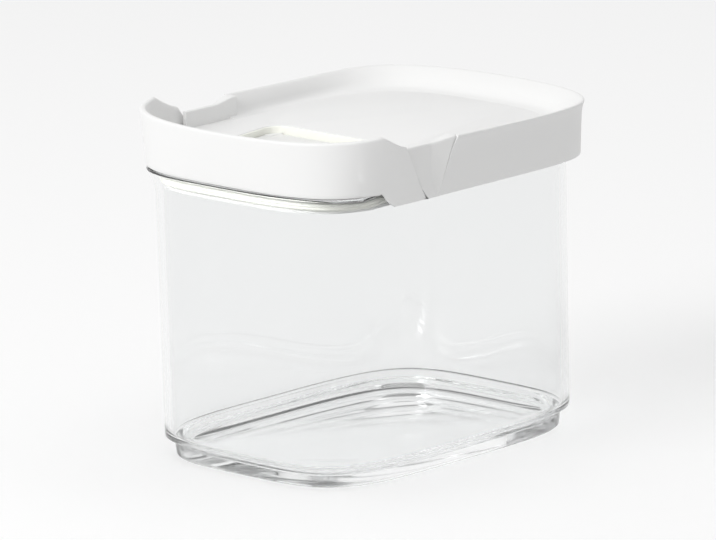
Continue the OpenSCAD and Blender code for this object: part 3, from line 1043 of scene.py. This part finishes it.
# ---------- the lid's frame ----------
@dataclass(frozen=True)
class LidFrame:
    """The lid's frame: collar, scoops, deck, well, plug, ribs and the pins' bosses."""

    form: KeeperForm
    rim_r: float = 0.7
    rise_run: float = 40.0
    widen_y: float = 20.0
    widen_run: float = 50.0
    side_slope: float = 6.0
    back_slope: float = 11.0
    seat_up: float = 0.4
    hug_run: float = 24.0
    scoop_low: float = 4.5
    scoop_tip: float = 9.0
    scoop_soft: float = 0.5
    well_t: float = 2.0
    mouth_ledge: float = 4.0
    plug_t: float = 1.9
    bead: float = 0.5
    bead_h: float = 1.1
    skirt_t: float = 1.0
    rib_t: float = 1.6
    rib_soft: float = 0.15
    side_ribs: tuple[float, ...] = (-32, 2, 30, 56)
    rear_ribs: tuple[float, ...] = (-28, 0, 28)
    bore_l: float = 7.0
    boss_l: float = 4.4
    boss_t: float = 2.0
    deck_soft: float = 0.35
    shelf_soft: float = 0.2
    pad_soft: float = 0.12

    @property
    def body(self) -> Outline:
        """The outline of the deck and of the skirt under it."""
        return self.form.frame_face.inset(self.form.deck_in)

    @property
    def bore_r(self) -> float:
        """The radius of the bores for the flap's pins."""
        return self.form.pin_r + self.form.pin_gap

    def collar_top(self, y: float) -> float:
        """Give the height of the collar's rim."""
        form = self.form
        return mix(form.crease_z, form.rim_z, clamp((y - form.crease_y) / self.rise_run))

    def collar_section(self, y: float) -> tuple[Section, Section]:
        """Give the collar's section at a place along Y.

        Args:
            y: the place.

        Returns:
            The shown side from below over the rim down to the deck, and the hidden side back.
        """
        form = self.form
        top = self.collar_top(y)
        bend_z = top - self.rim_r
        wide = ease((y - self.widen_y) / self.widen_run)
        foot_in = form.band_t + mix(self.side_slope, self.back_slope, wide)
        shown = [(0.35, form.collar_z), (0.1, form.collar_z + 0.12)]
        shown += [(0.0, z) for z in steps(form.collar_z + 0.4, bend_z, 16)]
        shown += list(reversed(corner(self.rim_r, bend_z, self.rim_r, 90, 5)))[1:]
        knots = [(1.25, top - 0.06), (form.band_t - 0.1, top - 0.6)]
        # insets, then shares of the height over the deck, each at the sides and at the back
        slope = ((0.9, 2.4, 0.55, 0.6), (1.5, 4.4, 0.25, 0.3), (2.6, 6.6, 0.08, 0.08))
        for side_in, back_in, side_up, back_up in slope:
            height = mix(form.deck_z, top, mix(side_up, back_up, wide))
            knots.append((form.band_t + mix(side_in, back_in, wide), height))
        knots += [(foot_in - 1, form.deck_z + 0.02), (foot_in, form.deck_z - 0.05)]
        shown += smooth_path(knots, 4)
        seat = form.under_z + self.seat_up
        hidden = [(foot_in, seat), (form.band_t, seat)]
        hidden += [(form.band_t, mix(form.collar_z + 0.3, seat, share)) for share in (0.8, 0.5, 0.2, 0.0)]
        hidden += [(form.band_t - 0.3, form.collar_z)]
        return shown, hidden

    def collar(self) -> Piece:
        """Build the collar from one scoop round the back to the other.

        Returns:
            The collar as a closed shell.
        """
        form = self.form
        columns: list[Column] = []
        # closest together at the crease, where the wall turns most
        for distance in (0, 0.5, 1.2, 2.2, 3.6, 5.5, 8, 11, 15, 20, 26, 33, 41, 48, 55):
            hug = 1 - ease(distance / self.hug_run)
            shown, hidden = self.collar_section(form.crease_y + distance)
            column: Column = []
            for index, (depth, z) in enumerate(shown + hidden):
                y = mix(form.crease_y, form.collar_end(z), hug) + distance
                share = form.rear_share(z) if index < len(shown) else 0.0
                column.append(form.side_point(form.rim, depth, share, y, z))
            columns.append(column)
        for angle in steps(14, 90, 52):
            shown, hidden = self.collar_section(form.rim.at(angle)[1])
            column = [form.end_point(form.rim, d, form.rear_share(z), angle, z) for d, z in shown]
            column += [form.end_point(form.rim, d, 0.0, angle, z) for d, z in hidden]
            columns.append(column)
        return add_skin("lid_collar", both_sides(columns), ring=False, tube=True)

    def saddle_stations(self, z: float) -> Plan:
        """Give the scoop's shown face at a height, from its front end to behind the crease.

        Args:
            z: the height.

        Returns:
            Points in plan.
        """
        form = self.form
        front = form.ear_top_y + 0.2
        edge = max(form.ear_y(z) + form.gap, front + 1)
        end = form.collar_end(z)
        crease = mix(form.band_low.half_at(end), form.rim.half_at(end), form.rear_share(z)) - 0.05
        low_share = clamp((form.collar_z + self.scoop_low - z) / self.scoop_low)
        floor = min(mix(form.frame_face.half_x, form.band_low.half_x - 0.1, low_share), crease - 0.01)
        tip_share = ease((form.collar_z + self.scoop_tip - z) / self.scoop_tip)
        valley = mix(form.valley_y, form.tip_y, tip_share)
        stations = [(form.frame_face.half_at(y), y) for y in steps(front, edge, 4)]
        stations += [(floor, y) for y in steps(edge + 0.1, valley - 0.5, 5)]
        # shares of the way from the valley to the crease
        for share in (0.02, 0.1, 0.2, 0.32, 0.45, 0.58, 0.7, 0.82, 0.92, 0.985):
            stations.append((mix(floor, crease, share), mix(valley, end, share)))
        stations += [(crease - 0.15, end + 0.15), (crease - 1.4, end + 1.6)]
        return stations

    def saddle(self) -> Piece:
        """Build the right scoop with its wall.

        Returns:
            The scoop as a closed shell.
        """
        form, soft = self.form, self.scoop_soft
        inner_x = form.frame_face.half_x - form.band_t
        shares = [0.0, *steps(0.01, 0.965, 22)]
        levels = [self.saddle_stations(mix(form.collar_z, form.saddle_z, share)) for share in shares]
        columns: list[Column] = []
        for stations in zip(*levels):
            column = [
                (x, y, mix(form.collar_z, self.saddle_top(y), share))
                for share, (x, y) in zip(shares, stations)
            ]
            x, y = stations[-1]
            top = self.saddle_top(y)
            for turn in (math.radians(angle) for angle in (30, 60, 90)):
                drop = 0.75 * (1 - math.sin(turn))
                column.append((x - soft * (1 - math.cos(turn)), y, top - drop))
            column += [(inner_x + soft, y, top), (inner_x + 0.15, y, top - 0.2), (inner_x, y, top - soft)]
            column += [(inner_x, y, mix(form.collar_z, top, share)) for share in (0.6, 0.3, 0.0)]
            columns.append(column)
        return add_skin("lid_saddle", columns, ring=False, tube=True)

    def saddle_top(self, y: float) -> float:
        """Give the height of the scoop's wall at a place along Y.

        Args:
            y: the place.

        Returns:
            The height.
        """
        form = self.form
        climb = ease((y - form.valley_y) / (form.crease_y - form.valley_y))
        return mix(form.saddle_z, form.crease_z, climb)

    def deck(self) -> list[Piece]:
        """Build the deck with its notch, the low front shelf, and the well's walls and floor.

        Returns:
            The four parts.
        """
        form, bar_y, stop = self.form, self.form.bar_y, self.form.lining_stop
        points = self.body.plan()
        half = self.body.half_at(bar_y)
        middle = 3 * PLAN_POINTS // 4
        rear = [point for point in points[middle:] + points[:middle] if point[1] > bar_y]
        front = [point for point in points if point[1] < bar_y]
        notch = list(reversed(form.well_plan(0, bar_y)))
        plate = [(half, bar_y), *rear, (-half, bar_y), *notch]
        mouth = [(form.well_width(bar_y), bar_y), (form.well_width(stop), stop)]
        mouth += [(-x, y) for x, y in reversed(mouth)]
        shelf = [(-half, bar_y), *front, (half, bar_y), *mouth]
        well = form.well_plan(self.well_t, bar_y) + list(reversed(form.well_plan(0.0, bar_y)))
        floor_out = form.well_plan(1.0, stop - 1)
        floor_in = form.well_plan(-self.mouth_ledge, form.mouth_front)
        return [
            add_prism("lid_deck", plate, form.under_z, form.deck_z, self.deck_soft),
            add_prism("lid_shelf", shelf, form.jar_h, form.floor_z, self.shelf_soft),
            add_prism("lid_well_wall", well, form.jar_h, form.under_z + self.seat_up),
            add_wall("lid_well_floor", floor_out, floor_in, form.jar_h, lambda _: form.floor_z),
        ]

    def pads(self) -> list[Piece]:
        """Build the two pads that fill the well's rear corners and hold the flap's pins.

        Returns:
            The left and the right pad.
        """
        form = self.form
        arc = form.well_plan(-form.lining_t - 0.05, form.pad_front)
        right = [(x, y) for x, y in arc[: len(arc) // 2] if x > form.pad_half]
        right += [(form.pad_half, right[-1][1]), (form.pad_half, form.pad_front)]
        parts = []
        for side in (-1, 1):
            plan = [(side * x, y) for x, y in right]
            pad = add_prism("lid_pad", plan, form.floor_z - 0.05, form.panel_z, self.pad_soft)
            start, end = (form.pin_at(side * (form.pad_half + x)) for x in (-1, self.bore_l))
            cut_bore(pad, start, end, self.bore_r)
            parts.append(pad)
        return parts

    def rib(self, plan: Plan) -> Piece:
        """Build a rib that rests on the jar's rim."""
        form = self.form
        return add_prism("lid_rib", plan, form.jar_h, form.under_z + 0.2, self.rib_soft)

    def underside(self) -> list[Piece]:
        """Build the plug with its bead, the frame's skirt, the stop ribs and the bosses.

        Returns:
            All the parts under the deck.
        """
        form, body, plug = self.form, self.body, self.form.plug
        skirt, half_t = body.inset(self.skirt_t), self.rib_t / 2
        # the parts of the moulding reach a little way into each other
        seat, shelf = form.under_z + 0.3, form.floor_z - 0.2
        bead_top = form.plug_low + self.bead_h
        rings: tuple[tuple[str, Outline, Outline, float, HeightRule], ...] = (
            ("lid_plug", plug, plug.inset(self.plug_t), form.plug_low, lambda _: seat),
            ("lid_bead", plug.inset(-self.bead), plug.inset(0.9), form.plug_low, lambda _: bead_top),
            ("lid_skirt", body, skirt, form.jar_h, lambda y: seat if y > form.bar_y else shelf),
        )
        parts = [
            add_wall(name, outer.plan(), inner.plan(), low, tops)
            for name, outer, inner, low, tops in rings
        ]
        for y in self.side_ribs:
            near, far = plug.half_at(y) - 0.6, skirt.half_at(y) + 0.5
            for x0, x1 in ((-near, -far), (near, far)):
                parts.append(self.rib([(x0, y), (x1, y), (x1, y + self.rib_t), (x0, y + self.rib_t)]))
        near, far = (outline.mid_y + outline.half_y - 0.8 for outline in (plug, body))
        for x in self.rear_ribs:
            x0, x1 = x - half_t, x + half_t
            parts.append(self.rib([(x0, near), (x1, near), (x1, far), (x0, far)]))
        root = form.well_width(form.pin_y) + 0.1
        for side in (-1, 1):
            start, end = form.pin_at(side * root), form.pin_at(side * (root + self.boss_l))
            parts.append(add_pin("lid_boss", start, end, form.pin_r + self.boss_t, self.bore_r))
        return parts

    def build(self) -> Piece:
        """Build the whole frame.

        Returns:
            The frame.
        """
        right = self.saddle()
        left = mirrored(right, "lid_saddle_left")
        parts = [self.collar(), right, left, *self.deck(), *self.pads(), *self.underside()]
        return join("lid_frame_shell", parts)


def mirrored(piece: Piece, name: str) -> Piece:
    """Copy a piece to the other side of the middle plane.

    Args:
        piece: the piece to copy.
        name: the copy's name.

    Returns:
        The copy, with its own mesh and its faces outwards.
    """
    select_only(piece)
    bpy.ops.object.duplicate()
    copy = bpy.context.object
    copy.name = copy.data.name = name
    copy.data.transform(Matrix.Scale(-1, 4, (1, 0, 0)))
    close_shell(copy)
    return copy


# ---------- the seals ----------
@dataclass(frozen=True)
class Seals:
    """The soft ring round the plug and the soft lining of the well."""

    form: KeeperForm
    jar: Jar
    ring_low: float = 108.0
    ring_h: float = 3.0
    lip_reach: float = 0.8
    lining_drop: float = 0.25

    def ring(self) -> Piece:
        """Build the ring with its two soft lips.

        Returns:
            The lid's seal.
        """
        form = self.form
        side = form.jar_wall + form.gap
        plug = form.plug
        # shares of the ring's height, and how far its face stands back from the tips of its lips
        lips = ((0.0, 0.9), (0.1, 0.5), (0.22, 0.1), (0.32, 0.0), (0.42, 0.12), (0.5, 0.42), (0.58, 0.12))
        lips += ((0.68, 0.0), (0.78, 0.1), (0.9, 0.5), (1.0, 0.9))
        columns: list[Column] = []
        for angle in steps(0, 360, PLAN_POINTS + 1)[:-1]:
            inner = plug.inset(0.02).at(angle)
            column: Column = [(*inner, self.ring_low)]
            for share, depth in lips:
                z = self.ring_low + self.ring_h * share
                column.append(self.jar.wall_point(z, side + self.lip_reach * depth, angle))
            column.append((*inner, self.ring_low + self.ring_h))
            columns.append(column)
        return join("lid_seal_ring", [add_skin("lid_seal_ring", columns, ring=True, tube=True)])

    def lining(self) -> Piece:
        """Build the lining, with a lower stretch under the flap's bar.

        Returns:
            The spout's seal.
        """
        form, stop = self.form, self.form.lining_stop
        # the height steps down at the bar
        stations = (form.bar_y - 0.1, form.bar_y + 0.1, -50.0, -40.0, -30.0)
        outer = form.well_plan(0.0, stop, stations)
        inner = form.well_plan(-form.lining_t, stop + form.lining_t, stations)

        def tops(y: float) -> float:
            """Give the lining's upper edge at a place along Y."""
            return form.deck_z - self.lining_drop if y > form.bar_y else form.under_z - form.gap

        wall = add_wall("spout_seal_lining", outer, inner, form.floor_z, tops)
        return join("spout_seal_lining", [wall])


# ---------- camera, floor and light ----------
@dataclass(frozen=True)
class PhotoCamera:
    """The photograph's viewpoint, in degrees, millimetres and the photograph's pixels."""

    azimuth: float = 43.851
    elevation: float = 13.227
    roll: float = -1.518
    focal_px: float = 7999.955
    distance: float = 3068.634
    aim: tuple[float, float, float] = (-5.233, 2.03, 66.14)
    image_width_px: int = 716
    sensor_mm: float = 36.0
    farthest_m: float = 50.0

    def build(self) -> Piece:
        """Create the camera and make it the scene's.

        Returns:
            The camera.
        """
        turn, rise, roll = (math.radians(angle) for angle in (self.azimuth, self.elevation, self.roll))
        back = Vector((math.sin(turn) * math.cos(rise), -math.cos(turn) * math.cos(rise), math.sin(rise)))
        level = Vector((math.cos(turn), math.sin(turn), 0.0))
        upright = back.cross(level)
        right = level * math.cos(roll) + upright * math.sin(roll)
        up = upright * math.cos(roll) - level * math.sin(roll)
        eye = level * self.aim[0] + Vector((0, self.aim[1], self.aim[2])) + back * self.distance
        data = bpy.data.cameras.new("photo_camera")
        data.sensor_fit = "HORIZONTAL"
        data.sensor_width = self.sensor_mm
        data.lens = self.focal_px / self.image_width_px * self.sensor_mm
        data.clip_end = self.farthest_m
        camera = bpy.data.objects.new("photo_camera", data)
        bpy.context.scene.collection.objects.link(camera)
        turned = Matrix((right, up, back)).transposed().to_4x4()
        camera.matrix_world = Matrix.Translation(eye * MM) @ turned
        bpy.context.scene.camera = camera
        return camera


@dataclass(frozen=True)
class Lamp:
    """A soft rectangular lamp, in metres and watts."""

    name: str
    place: tuple[float, float, float]
    size: tuple[float, float]
    power: float

    def build(self, target: Vector) -> None:
        """Create the lamp, turned towards the target.

        Args:
            target: the point to light, in metres.
        """
        data = bpy.data.lights.new(self.name, "AREA")
        data.shape = "RECTANGLE"
        data.size, data.size_y = self.size
        data.energy = self.power
        lamp = bpy.data.objects.new(self.name, data)
        bpy.context.scene.collection.objects.link(lamp)
        lamp.location = self.place
        lamp.rotation_euler = (target - Vector(self.place)).to_track_quat("-Z", "Y").to_euler()


@dataclass(frozen=True)
class Studio:
    """A plain pale floor, a white surround and soft light."""

    ambient: float = 0.56
    floor_colour: float = 0.86
    floor_seen: float = 0.6
    floor_lift: float = 0.38
    floor_half: float = 8.0
    floor_drop: float = 0.0002
    floor_dull: float = 0.9
    floor_gloss: float = 0.1
    aim_z: float = 0.07
    light_turns: int = 28
    lamps: tuple[Lamp, ...] = (
        Lamp("key_from_pouring_side", (-0.3, -2.1, 1.4), (1.2, 1.1), 31.0),
        Lamp("top_softbox", (0.1, 0.2, 2.2), (2.0, 2.0), 10.0),
    )

    def seen_rays(self, nodes: bpy.types.Nodes, links: bpy.types.NodeLinks) -> bpy.types.NodeSocket:
        """Add a mask that is 1 for camera, glossy and transmission rays.

        Args:
            nodes: the tree's nodes.
            links: the tree's links.

        Returns:
            The socket that puts the mask out.
        """
        rays = nodes.new("ShaderNodeLightPath")
        first, second = nodes.new("ShaderNodeMath"), nodes.new("ShaderNodeMath")
        first.operation = second.operation = "MAXIMUM"
        links.new(rays.outputs["Is Camera Ray"], first.inputs[0])
        links.new(rays.outputs["Is Glossy Ray"], first.inputs[1])
        links.new(first.outputs["Value"], second.inputs[0])
        links.new(rays.outputs["Is Transmission Ray"], second.inputs[1])
        return second.outputs["Value"]

    def world(self) -> None:
        """Give the scene a surround that is white where it is seen and dimmer as a light."""
        world = bpy.data.worlds.new("studio_surround")
        bpy.context.scene.world = world
        world.use_nodes = True
        nodes, links = world.node_tree.nodes, world.node_tree.links
        background = nodes["Background"]
        set_inputs(background, {"Color": PURE_WHITE})
        level = nodes.new("ShaderNodeMapRange")
        set_inputs(level, {"To Min": self.ambient, "To Max": 1.0})
        links.new(self.seen_rays(nodes, links), level.inputs["Value"])
        links.new(level.outputs["Result"], background.inputs["Strength"])

    def floor(self) -> None:
        """Lay the floor: a pale sheet that is lifted to white where it is seen, under its shadow."""
        deselect()
        bpy.ops.mesh.primitive_plane_add(size=2 * self.floor_half, location=(0, 0, -self.floor_drop))
        floor = bpy.context.object
        floor.name = "studio_floor"
        material = bpy.data.materials.new("studio_floor_paper")
        material.use_nodes = True
        nodes, links = material.node_tree.nodes, material.node_tree.links
        shader = nodes["Principled BSDF"]
        seen = self.seen_rays(nodes, links)
        tone = nodes.new("ShaderNodeMapRange")
        set_inputs(tone, {"To Min": self.floor_colour, "To Max": self.floor_seen})
        links.new(seen, tone.inputs["Value"])
        links.new(tone.outputs["Result"], shader.inputs["Base Color"])
        set_inputs(shader, {"Roughness": self.floor_dull, "Specular IOR Level": self.floor_gloss})
        set_inputs(shader, {"Emission Color": PURE_WHITE})
        lift = nodes.new("ShaderNodeMath")
        lift.operation = "MULTIPLY"
        lift.inputs[1].default_value = self.floor_lift
        links.new(seen, lift.inputs[0])
        links.new(lift.outputs["Value"], shader.inputs["Emission Strength"])
        floor.data.materials.append(material)

    def build(self) -> None:
        """Build the surround, the floor and the lamps."""
        self.world()
        self.floor()
        for lamp in self.lamps:
            lamp.build(Vector((0, 0, self.aim_z)))
        scene = bpy.context.scene
        scene.view_settings.view_transform = "Standard"
        scene.cycles.max_bounces = self.light_turns
        scene.cycles.glossy_bounces = self.light_turns
        scene.cycles.transmission_bounces = self.light_turns
        scene.cycles.transparent_max_bounces = 2 * self.light_turns


def main() -> None:
    """Load the frame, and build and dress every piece."""
    logging.basicConfig(level=logging.INFO, format="%(name)s: %(message)s")
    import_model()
    PhotoCamera().build()
    Studio().build()
    surface = moulding_group()
    form = KeeperForm()
    jar = Jar(form)
    seals = Seals(form, jar)
    seal_finish = SOFT_SEAL.material(surface)
    place(jar.build(), Body.JAR, "container_body", Slot.JAR, CLEAR_JAR.material(surface))
    place(LidFrame(form).build(), Body.LID, "lid_frame", Slot.LID, WHITE_LID.material(surface))
    place(PouringFlap(form).build(), Body.FLAP, "flip_flap", Slot.FLAP, WHITE_FLAP.material(surface))
    place(seals.ring(), Body.LID, "lid_seal", Slot.SEAL, seal_finish)
    place(seals.lining(), Body.LID, "spout_seal", Slot.SEAL, seal_finish)


if __name__ == "__main__":
    main()
